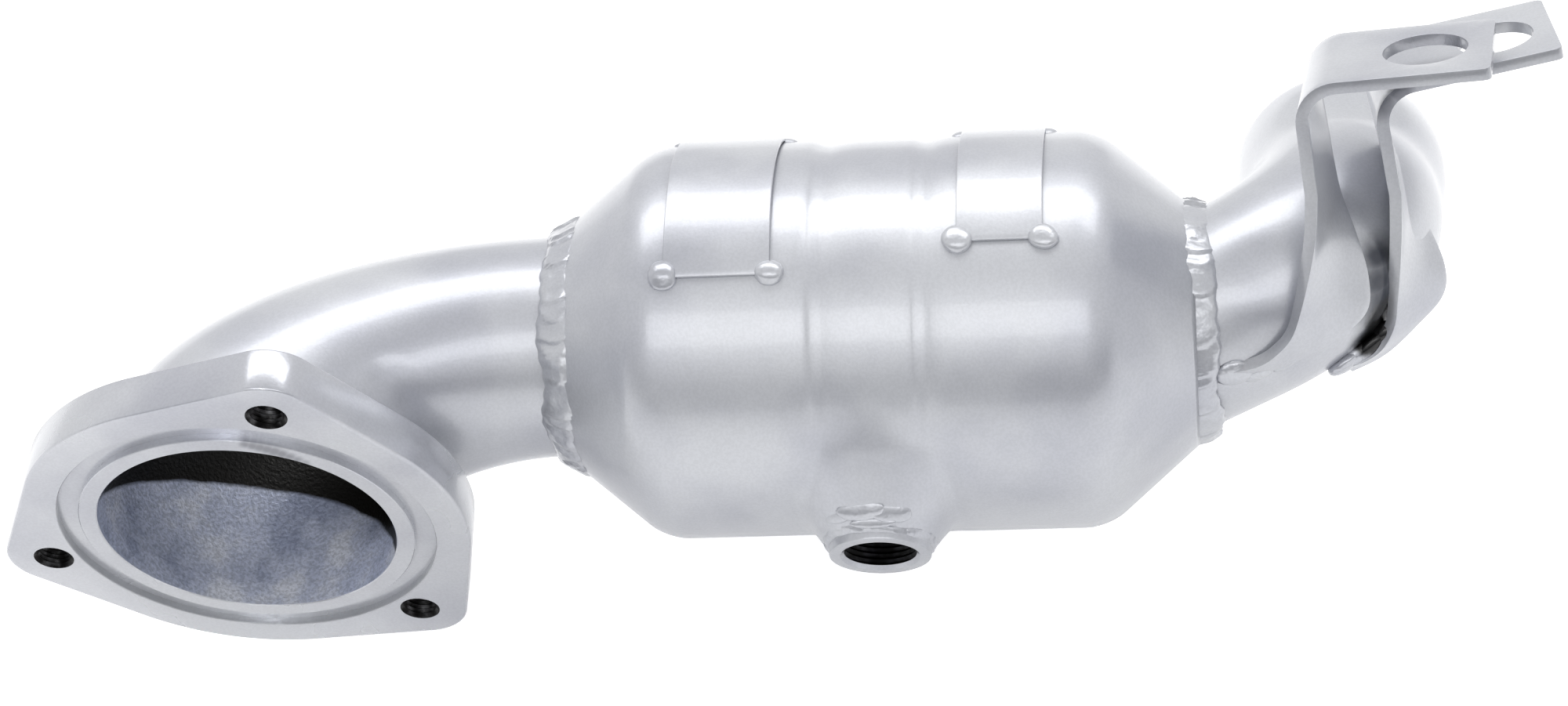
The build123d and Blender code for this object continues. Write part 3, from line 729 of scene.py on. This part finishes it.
def build_bung():
    """Sensor bung: a turned ring with a fine thread and a painted face."""
    bm = bmesh.new()
    outer = wire(bm, [(BUNG_RADIUS, 0, BUNG_INNER), (BUNG_RADIUS, 0, BUNG_FACE - 0.5),
                      (BUNG_RADIUS - 0.12, 0, BUNG_FACE - 0.12), (BUNG_RADIUS - 0.4, 0, BUNG_FACE),
                      (BUNG_THREAD[0], 0, BUNG_FACE)])
    spin_round(bm, outer + bm.edges[:], (0, 0, 0), (0, 0, 1), 128)
    # the paint reaches a little way into the mouth; below it the near-black thread colour is painted shade
    for face in cut_thread(bm, Vector(), BUNG_FACE, BUNG_INNER, BUNG_THREAD, 128):
        if face.calc_center_median().z < BUNG_FACE - 0.8:
            face.material_index = 1
    bmesh.ops.bridge_loops(bm, edges=rim_edges(bm, BUNG_INNER))
    return close_piece(bm, "threaded_sensor_bung", ["machined_paint", "bung_thread"], ["oxygen_sensor_bung"],
                       turn=local_frame(BUNG_BASE, X_AXIS, BUNG_DIRECTION), flat_along=BUNG_DIRECTION)


# Weld beads

def ripple(distance, wide, seed):
    """Height of a bead's fish-scale ripple at a distance along it and a share of its half width."""
    pitch = sizes().ripple_pitch
    wander = 2.6 * sin(distance * 0.23 + seed) + 1.5 * sin(distance * 0.61 + seed * 2)
    wave = (distance + 0.7 * wide * wide * pitch + wander) / pitch
    return (wave % 1) ** 1.6


def build_ring_weld(name, middle, axis, side, reach, half_width, height, stands_for, seed, lean=0.0,
                    wobble=0.35):
    """Bead laid round a joint; reach gives its radius at an angle, lean tips its section to one side.
    The inner half of its section sinks into the pipe that it seals."""
    bm = bmesh.new()
    section = hoop(bm, middle + side * reach(0), side, axis, 1.0, 22)
    spin_round(bm, section + bm.edges[:], middle, axis, 420)
    third = axis.cross(side)
    for vert in bm.verts:
        offset = vert.co - middle
        along = offset.dot(axis)
        flat = offset - axis * along
        angle = atan2(flat.dot(third), flat.dot(side))
        out = flat.length - reach(0)
        radius = reach(angle)
        distance = angle * radius
        # broad overlapping passes with wandering edges, each ending in a low step
        swell = 1 + wobble * (0.3 * sin(distance * 0.17 + seed * 3) + 0.2 * sin(distance * 0.41 + seed))
        step = (0.3 * (ripple(distance, along, seed) - 0.5)
                + 0.16 * unevenness((distance * 1.3, along * 2.5, seed), seed))
        out_mm = out ** 0.7 * height * (swell + step) if out > 0 else out * 0.9
        sway = 0.35 * sin(distance * 0.29 + seed + along) + 0.12 * sin(distance * 1.3)
        along_mm = along * half_width * (1 + wobble * sway) + wobble * 1.3 * sin(distance * 0.19 + seed)
        vert.co = middle + flat.normalized() * (radius + out_mm + lean * along_mm) + axis * along_mm
    return close_piece(bm, name, ["weld_paint"], stands_for, smooth_angle=60)


def build_lumps(name, spots, stands_for, seed, paint="weld_paint"):
    """Short welds as uneven domes: each has a middle, an outward and a length direction, and its sizes."""
    bm = bmesh.new()
    for number, (middle, out, along, length, width, height) in enumerate(spots):
        side = out.cross(along).normalized()
        along = side.cross(out).normalized()
        for vert in bmesh.ops.create_icosphere(bm, subdivisions=4, radius=1.0)["verts"]:
            x, y, z = vert.co
            swell = 1 + 0.15 * unevenness((x * 1.7, y * 1.7, z * 1.7), seed + number * 1.7)
            vert.co = middle + (along * (x * length) + side * (y * width) + out * (z * height)) * swell
    return close_piece(bm, name, [paint], stands_for, smooth_angle=70)


def outlet_reach(angle):
    """Radius at which the leaning outlet pipe meets the cone's end, the angle turned from +Z."""
    toward = cos(angle - atan2(-OUTLET_FIRST.y, OUTLET_FIRST.z))
    return 27.3 + 2.0 * toward ** 2 + 0.8 * toward


def bung_patches():
    """Weld lumps above the bung: turn, distance and height from the bung, then length, width, thickness."""
    for turn, side, height, *lump in ((-34, 16.2, 54.5, 4.2, 2.0, 0.7), (-12, 16.6, 54.2, 6.0, 2.4, 0.9),
                                      (16, 16.0, 54.8, 5.4, 2.6, 0.8), (-2, 14.2, 56.8, 5.4, 1.4, 0.7)):
        away = BUNG_ABOVE * cos(radians(turn)) + X_AXIS * sin(radians(turn))
        middle = BUNG_BASE + BUNG_DIRECTION * height + away * side
        yield (middle, BUNG_DIRECTION * 0.6 + away * 0.8, away.cross(BUNG_DIRECTION), *lump)


def build_round_welds():
    """The four round joints' beads and the weld lumps above the bung."""
    build_ring_weld("inlet_cone_bead", BEND_START + X_AXIS * 2, X_AXIS, Z_AXIS, lambda angle: 30.8, 4.8, 2.1,
                    ["inlet_cone_weld"], 1.3, lean=0.48)
    build_ring_weld("outlet_cone_bead", CAN + X_AXIS * 79.2, X_AXIS, Z_AXIS, outlet_reach, 4.9, 2.1,
                    ["outlet_cone_weld"], 4.1, lean=-0.2)
    build_ring_weld("inlet_flange_bead", FLANGE_NORMAL * -(FLANGE_THICKNESS + 0.4), FLANGE_NORMAL, X_AXIS,
                    lambda angle: ELBOW_END_RADIUS + 0.3, 3.0, 2.0, ["inlet_flange_weld"], 2.2, wobble=0.25)
    build_ring_weld("sensor_bung_bead", BUNG_BASE + BUNG_DIRECTION * 57.4, BUNG_DIRECTION, X_AXIS,
                    lambda angle: BUNG_RADIUS + 0.2, 1.3, 0.9, ["bung_weld"], 5.0, lean=-0.5, wobble=0.5)
    build_lumps("sensor_bung_patches", bung_patches(), ["bung_weld"], 9.0)


# Tag plates

# middle along the can, width, lower and upper end in degrees up from -Y
TAGS = {"front": (-37.8, 26.4, 58.2, 128.0), "rear": (31.7, 21.2, 66.0, 125.0)}
TAG_SHEET = 0.9


def on_can(x, angle, height):
    """Point at a height over the can's skin, the angle in degrees up from -Y."""
    radius, angle = sizes().can_radius + height, radians(angle)
    return CAN + Vector((x, -radius * cos(angle), radius * sin(angle)))


def build_tag(side):
    """Blank tag plate bowed over the can, its lower corners welded down."""
    middle, width, low, high = TAGS[side]
    bm = bmesh.new()
    for vert in bmesh.ops.create_grid(bm, x_segments=14, y_segments=40, size=0.5)["verts"]:
        x, s = vert.co.x, vert.co.y + 0.5
        # the sheet springs off the can between its welds, a little more at its side edges
        gap = 0.12 + 0.9 * sin(pi * s) + 0.35 * (2 * abs(x)) ** 3 * sin(pi * min(s * 1.3, 1))
        vert.co = on_can(middle + x * width, low + s * (high - low), gap)
    piece = close_piece(bm, side + "_blank_tag", ["silver_paint"], [side + "_tag_plate"])
    add_wall(piece, TAG_SHEET, offset=1.0)
    soften_edges(piece, 0.22, 2)
    return piece


def tag_spots(side):
    """Weld lumps at a plate's four corners, the lower ones larger."""
    middle, width, low, high = TAGS[side]
    for edge in (-0.5, 0.5):
        for angle, inset, height, lump in ((low, 0.6, 0.3, (3.8, 3.7 - 0.5 * edge, 2.1)),
                                           (high, -0.6, -0.3, (3.0, 2.6, 1.3))):
            out = Vector((0, -cos(radians(angle)), sin(radians(angle))))
            yield (on_can(middle + edge * width, angle + inset, height), out, X_AXIS, *lump)


# Hanger brackets

# near lower corner from the can's middle, then turn, lean and pitch in degrees
BRACKETS = {
    "front": ((-1.5, -14.1, 4.5), 6.9, 15.1, 0.0),
    "rear": ((23.3, -18.1, -11.4), -3.0, 14.6, 4.3),
}
# stations of the twisted feet: near edge (u, v), far edge (u, v, depth), from riser to toe
FEET = {
    "front": (
        (109.4, 45.5, 110.8, 45.5, 30.5),
        (109.0, 35.6, 113.2, 36.0, 26.0),
        (107.6, 26.0, 117.6, 27.2, 19.8),
        (105.6, 16.0, 121.0, 17.4, 15.8),
        (103.4, 8.8, 120.8, 9.6, 13.0),
        (99.6, 4.0, 114.2, 4.6, 8.6),
        (95.0, 0.9, 101.0, -1.2, 4.6),
        (88.0, -1.0, 89.0, -4.0, 2.8),
    ),
    "rear": (
        (108.9, 45.5, 110.6, 45.5, 30.5),
        (108.2, 36.0, 113.6, 36.5, 26.0),
        (107.1, 26.0, 117.0, 26.8, 19.8),
        (106.0, 17.4, 119.8, 18.2, 15.4),
        (104.8, 10.8, 118.8, 11.8, 12.8),
        (101.6, 5.4, 112.6, 7.4, 9.0),
        (97.2, 2.6, 103.2, 1.4, 5.4),
        (92.6, 1.6, 94.0, -1.4, 3.2),
    ),
}
STRIP_WIDTH, STRIP_COLUMNS, FOOT_STEPS = 34.0, 12, 42
# the riser's line, where the foot begins on it, the bend's corner and the tab's start
RISER_U, FOOT_TOP, CORNER, TAB_START = 109.7, 45.5, (106.46, 72.56, 0), Vector((119.0, 73.84, 0))
TAB_SLOPE, TAB_LENGTH = Vector((0.9948, 0.1018, 0)), 33.0
# each tab's hole: distance from the tab's end, depth from its near edge and radius
TAB_HOLES = {"front": (16.0, 17.0, 10.2), "rear": (14.2, 15.8, 9.4)}
# weld lumps: share along the foot, share across it, length, width and least height
BRACKET_LUMPS = {
    "front": ((0.98, 0.5, 5.2, 4.0, 1.4), (0.92, 1.0, 4.6, 2.6, 1.0), (0.84, 1.0, 4.6, 1.8, 0.8)),
    "rear": ((0.99, 0.4, 5.4, 4.2, 1.6), (0.9, 0.2, 5.0, 3.4, 1.2), (0.8, 0.15, 5.0, 3.0, 1.0),
             (0.7, 0.15, 4.4, 2.6, 0.8)),
}


def bracket_matrix(side):
    """Frame of a bracket's near edge: u along the tab, v up the riser, depth into the sheet's width."""
    at, *angles = BRACKETS[side]
    turn, lean, pitch = (radians(angle) for angle in angles)
    level_up = Vector((0, sin(lean), cos(lean)))
    away = Vector((sin(turn), cos(turn) * cos(lean), -cos(turn) * sin(lean)))
    along = level_up.cross(-away) * cos(pitch) + level_up * sin(pitch)
    return local_frame(CAN + Vector(at), along.normalized(), -away)


def between(stations, share):
    """Smooth curve through the stations, the share running from 0 to 1 along them."""
    place = share * (len(stations) - 1)
    number = min(int(place), len(stations) - 2)
    t = place - number
    before, start = stations[max(number - 1, 0)], stations[number]
    end, after = stations[number + 1], stations[min(number + 2, len(stations) - 1)]
    return [0.5 * (2 * b + (c - a) * t + (2 * a - 5 * b + 4 * c - d) * t * t
                   + (3 * b - a - 3 * c + d) * t ** 3)
            for a, b, c, d in zip(before, start, end, after)]


def foot_point(side, share, across):
    """Point of a foot in its bracket's frame, at a share along it and a share across it."""
    u, v, far_u, far_v, depth = between(FEET[side], share)
    return Vector((u + (far_u - u) * across, v + (far_v - v) * across, -depth * across))


def build_bracket(side):
    """Hanger bracket: a sheet strip bent into a drilled tab and twisted into a foot that hugs the pipe."""
    bm = bmesh.new()
    top_u, _, top_far_u, _, top_depth = FEET[side][0]
    verts = wire(bm, [(RISER_U, FOOT_TOP, 0), CORNER, TAB_START])
    round_corners(bm, [verts[1]], 9.1, 10)
    split_long(bm, 3.0)
    far_edge, _ = extrude_row(bm, bm.edges[:])
    bmesh.ops.translate(bm, verts=far_edge, vec=(0, 0, -STRIP_WIDTH))
    long_edges = [e for e in bm.edges if abs(e.verts[0].co.z - e.verts[1].co.z) > 1]
    bmesh.ops.subdivide_edges(bm, edges=long_edges, cuts=STRIP_COLUMNS - 1, use_grid_fill=True)
    # the strip narrows and starts to turn a little above the foot
    for vert in bm.verts:
        near_foot = ease((66 - vert.co.y) / 20.5)
        share = -vert.co.z / STRIP_WIDTH
        vert.co.x += (top_u - RISER_U + (top_far_u - top_u) * share) * near_foot
        vert.co.z *= 1 - (1 - top_depth / STRIP_WIDTH) * near_foot
    # foot: the strip's lower edge is drawn down through the stations
    row = [e for e in bm.edges if all(abs(v.co.y - FOOT_TOP) < 0.001 for v in e.verts)]
    for step in range(1, FOOT_STEPS + 1):
        moved, row = extrude_row(bm, row)
        low = min(vert.co.z for vert in moved)
        for vert in moved:
            vert.co = foot_point(side, step / FOOT_STEPS, vert.co.z / low)
    # tab: flat plate with two rounded corners and a hole, joined to the bend's end
    bend_end = [e for e in bm.edges if len(e.link_faces) == 1
                and all(abs(v.co.x - TAB_START.x) < 0.01 and v.co.y > 60 for v in e.verts)]
    end_verts = sorted({v for e in bend_end for v in e.verts}, key=lambda v: v.co.z)
    corner = TAB_START + TAB_SLOPE * TAB_LENGTH
    corners = [bm.verts.new(corner), bm.verts.new(corner - Z_AXIS * STRIP_WIDTH)]
    known = set(bm.edges)
    for pair in ((end_verts[-1], corners[0]), corners, (corners[1], end_verts[0])):
        bm.edges.new(pair)
    round_corners(bm, corners, 1.8, 5)
    rim = [e for e in bm.edges if e not in known]
    inset, depth, hole_radius = TAB_HOLES[side]
    hole = hoop(bm, corner - TAB_SLOPE * inset - Z_AXIS * depth, TAB_SLOPE, Z_AXIS, hole_radius, 64)
    bmesh.ops.triangle_fill(bm, use_beauty=True, use_dissolve=False, edges=bend_end + rim + ring_edges(hole),
                            normal=TAB_SLOPE.cross(Z_AXIS))
    piece = close_piece(bm, side + "_hanger_strap", ["strap_paint", "edge_paint"], [side + "_hanger_bracket"],
                        smooth_angle=40, turn=bracket_matrix(side))
    # the wall's cut edges take the darker edge paint: painted shade
    add_wall(piece, sizes().sheet, offset=0.0, edge_finish=1)
    soften_edges(piece, 0.45, 3)
    return piece


def bracket_spots(side):
    """Weld lumps between the foot and the pipe, at the toe and along the lower edge."""
    turn = bracket_matrix(side)
    for share, across, length, width, height in BRACKET_LUMPS[side]:
        spot = turn @ foot_point(side, share, across)
        along = turn.to_3x3() @ (foot_point(side, share - 0.05, 0) - foot_point(side, share, 0))
        skin_point, out = outlet_surface(spot)
        yield ((spot + skin_point) / 2, out, along.normalized(), length, width,
               height + (spot - skin_point).length / 2)


# Stage

# degrees up from -Y round the can, distance, length and height in metres, power in watts
SOFTBOXES = {"overhead_softbox": (116, 1.3, 1.9, 0.6, 10.0), "front_softbox": (47, 1.35, 1.6, 0.45, 3.6)}
PORT_SPOT_DIRECTION = Vector((-0.08, -1.0, 0.62)).normalized()


def place_on_stage(name, data, location):
    holder = bpy.data.objects.new(name, data)
    holder.location = location
    bpy.context.scene.collection.objects.link(holder)
    return holder


def add_floor():
    """Wide board just under the object."""
    bm = bmesh.new()
    bmesh.ops.create_grid(bm, x_segments=2, y_segments=2, size=3.0)
    bmesh.ops.translate(bm, verts=bm.verts[:], vec=(0.16, 0.05, solid_box[0][2] - 0.0005))
    mesh = bpy.data.meshes.new("floor")
    bm.to_mesh(mesh)
    bm.free()
    mesh.materials.append(finish("board"))
    floor = place_on_stage("floor", mesh, (0, 0, 0))


def add_lamps():
    """Two long softboxes over the can and a small spot that looks into the port."""
    for name, (angle, distance, length, height, power) in SOFTBOXES.items():
        direction = Vector((0, -cos(radians(angle)), sin(radians(angle))))
        lamp = bpy.data.lights.new(name, "AREA")
        lamp.shape = "RECTANGLE"
        lamp.size, lamp.size_y, lamp.energy = length, height, power
        holder = place_on_stage(name, lamp, CAN * 0.001 + direction * distance)
        holder.rotation_euler = direction.to_track_quat("Z", "Y").to_euler()
    # the spot makes the flange's rim throw its shadow on the pipe inside
    lamp = bpy.data.lights.new("port_spot", "SPOT")
    lamp.energy = 17.0
    lamp.spot_size, lamp.spot_blend, lamp.shadow_soft_size = radians(6), 0.7, 0.02
    holder = place_on_stage("port_spot", lamp, PORT_SPOT_DIRECTION * 1.1)
    holder.rotation_euler = PORT_SPOT_DIRECTION.to_track_quat("Z", "Y").to_euler()


def add_world(scene):
    """Pale room around the object with a grey wall low in front; white to the camera."""
    world = bpy.data.worlds.new("studio_room")
    world.use_nodes = True
    tree = world.node_tree
    tree.nodes.clear()
    direction = node(tree, "ShaderNodeTexCoord").outputs["Generated"]
    parts = node(tree, "ShaderNodeSeparateXYZ", links={"Vector": direction})
    front, low = (
        node(tree, "ShaderNodeMapRange", {"interpolation_type": "SMOOTHSTEP"}, {"Value": parts.outputs[axis]},
             {"From Min": start, "From Max": end}).outputs["Result"]
        for axis, start, end in (("Y", -0.2, -0.75), ("Z", 0.44, 0.14)))
    high = node(tree, "ShaderNodeMapRange", links={"Value": parts.outputs["Z"]},
                values={"From Min": 0.55, "From Max": 0.9}).outputs["Result"]
    wall = node(tree, "ShaderNodeMath", {"operation": "MULTIPLY"}, {0: front, 1: low}).outputs[0]
    room = blend(tree, high, (1.0, 1.0, 1.0, 1), (0.78, 0.78, 0.785, 1))
    room = blend(tree, wall, room, (0.22, 0.225, 0.24, 1))
    seen = node(tree, "ShaderNodeLightPath").outputs["Is Camera Ray"]
    lit = node(tree, "ShaderNodeBackground", links={"Color": room}, values={"Strength": 0.9})
    white = node(tree, "ShaderNodeBackground", values={"Color": (1, 1, 1, 1), "Strength": 1.0})
    both = node(tree, "ShaderNodeMixShader", links={0: seen, 1: lit.outputs[0], 2: white.outputs[0]})
    node(tree, "ShaderNodeOutputWorld", links={"Surface": both.outputs[0]})
    scene.world = world


# Operators and panel

class CONVERTER_OT_flange(bpy.types.Operator):
    """Build the machined inlet flange"""
    bl_idname = "converter.flange"
    bl_label = "Inlet flange"

    def execute(self, context):
        build_flange()
        return {"FINISHED"}


class CONVERTER_OT_pipes(bpy.types.Operator):
    """Build the widening inlet elbow and the bent outlet pipe"""
    bl_idname = "converter.pipes"
    bl_label = "Pipes"

    def execute(self, context):
        build_elbow()
        build_outlet()
        return {"FINISHED"}


class CONVERTER_OT_can(bpy.types.Operator):
    """Build the grooved can and its sensor bung"""
    bl_idname = "converter.can"
    bl_label = "Can and bung"

    def execute(self, context):
        build_shell()
        build_bung()
        return {"FINISHED"}


class CONVERTER_OT_tags(bpy.types.Operator):
    """Build the two blank tag plates and their corner welds"""
    bl_idname = "converter.tags"
    bl_label = "Tag plates"

    def execute(self, context):
        for number, side in enumerate(TAGS):
            build_tag(side)
            build_lumps(side + "_tag_beads", tag_spots(side), [side + "_tag_welds"], 2.0 + number)
        return {"FINISHED"}


class CONVERTER_OT_brackets(bpy.types.Operator):
    """Build the two hanger brackets and their welds"""
    bl_idname = "converter.brackets"
    bl_label = "Hanger brackets"

    def execute(self, context):
        for number, side in enumerate(BRACKETS):
            build_bracket(side)
            build_lumps(side + "_bracket_beads", bracket_spots(side), [side + "_bracket_welds"],
                        6.0 + number, "bracket_weld_paint")
        return {"FINISHED"}


class CONVERTER_OT_welds(bpy.types.Operator):
    """Build the round weld beads"""
    bl_idname = "converter.welds"
    bl_label = "Weld beads"

    def execute(self, context):
        build_round_welds()
        return {"FINISHED"}


class CONVERTER_OT_inner_finishes(bpy.types.Operator):
    """Give the bricks, mats and seals inside the can their finishes"""
    bl_idname = "converter.inner_finishes"
    bl_label = "Inner finishes"

    def execute(self, context):
        for name, finish_name in (("front_catalyst_brick", "honeycomb"), ("rear_catalyst_brick", "honeycomb"),
                                  ("front_support_mat", "fibre_mat"), ("rear_support_mat", "fibre_mat"),
                                  ("mat_end_seals", "wire_mesh")):
            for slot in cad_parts[name].material_slots:
                slot.material = finish(finish_name)
        return {"FINISHED"}


class CONVERTER_OT_stage(bpy.types.Operator):
    """Set the pale floor, the soft lamps, the world and the camera"""
    bl_idname = "converter.stage"
    bl_label = "Stage"

    def execute(self, context):
        scene = context.scene
        scene.view_settings.view_transform = "Standard"
        add_floor()
        add_world(scene)
        add_lamps()
        camera = bpy.data.cameras.new("camera")
        camera.sensor_width = 36.0
        camera.lens = 80.1
        eye = place_on_stage("camera", camera, (0.24162, -0.63321, 0.59122))
        eye.rotation_euler = (radians(49.7495), radians(5.8194), radians(3.9385))
        scene.camera = eye
        return {"FINISHED"}


class CONVERTER_PT_panel(bpy.types.Panel):
    """Lists the sizes, colours and building steps"""
    bl_label = "Catalytic converter"
    bl_idname = "CONVERTER_PT_panel"
    bl_space_type = "VIEW_3D"
    bl_region_type = "UI"
    bl_category = "Converter"

    def draw(self, context):
        for group in (context.scene.converter_sizes, context.scene.converter_colours):
            for name in group.__annotations__:
                self.layout.prop(group, name)
        for operator in OPERATORS:
            self.layout.operator(operator.bl_idname)


OPERATORS = (CONVERTER_OT_flange, CONVERTER_OT_pipes, CONVERTER_OT_can, CONVERTER_OT_tags,
             CONVERTER_OT_brackets, CONVERTER_OT_welds, CONVERTER_OT_inner_finishes, CONVERTER_OT_stage)
CLASSES = (ConverterSizes, ConverterColours) + OPERATORS + (CONVERTER_PT_panel,)


def register():
    for each in CLASSES:
        bpy.utils.register_class(each)
    bpy.types.Scene.converter_sizes = PointerProperty(type=ConverterSizes)
    bpy.types.Scene.converter_colours = PointerProperty(type=ConverterColours)


def unregister():
    del bpy.types.Scene.converter_colours
    del bpy.types.Scene.converter_sizes
    for each in reversed(CLASSES):
        bpy.utils.unregister_class(each)


def main():
    register()
    bpy.ops.converter.flange()
    bpy.ops.converter.pipes()
    bpy.ops.converter.can()
    bpy.ops.converter.tags()
    bpy.ops.converter.brackets()
    bpy.ops.converter.welds()
    bpy.ops.converter.inner_finishes()
    bpy.ops.converter.stage()


if __name__ == "__main__":
    main()
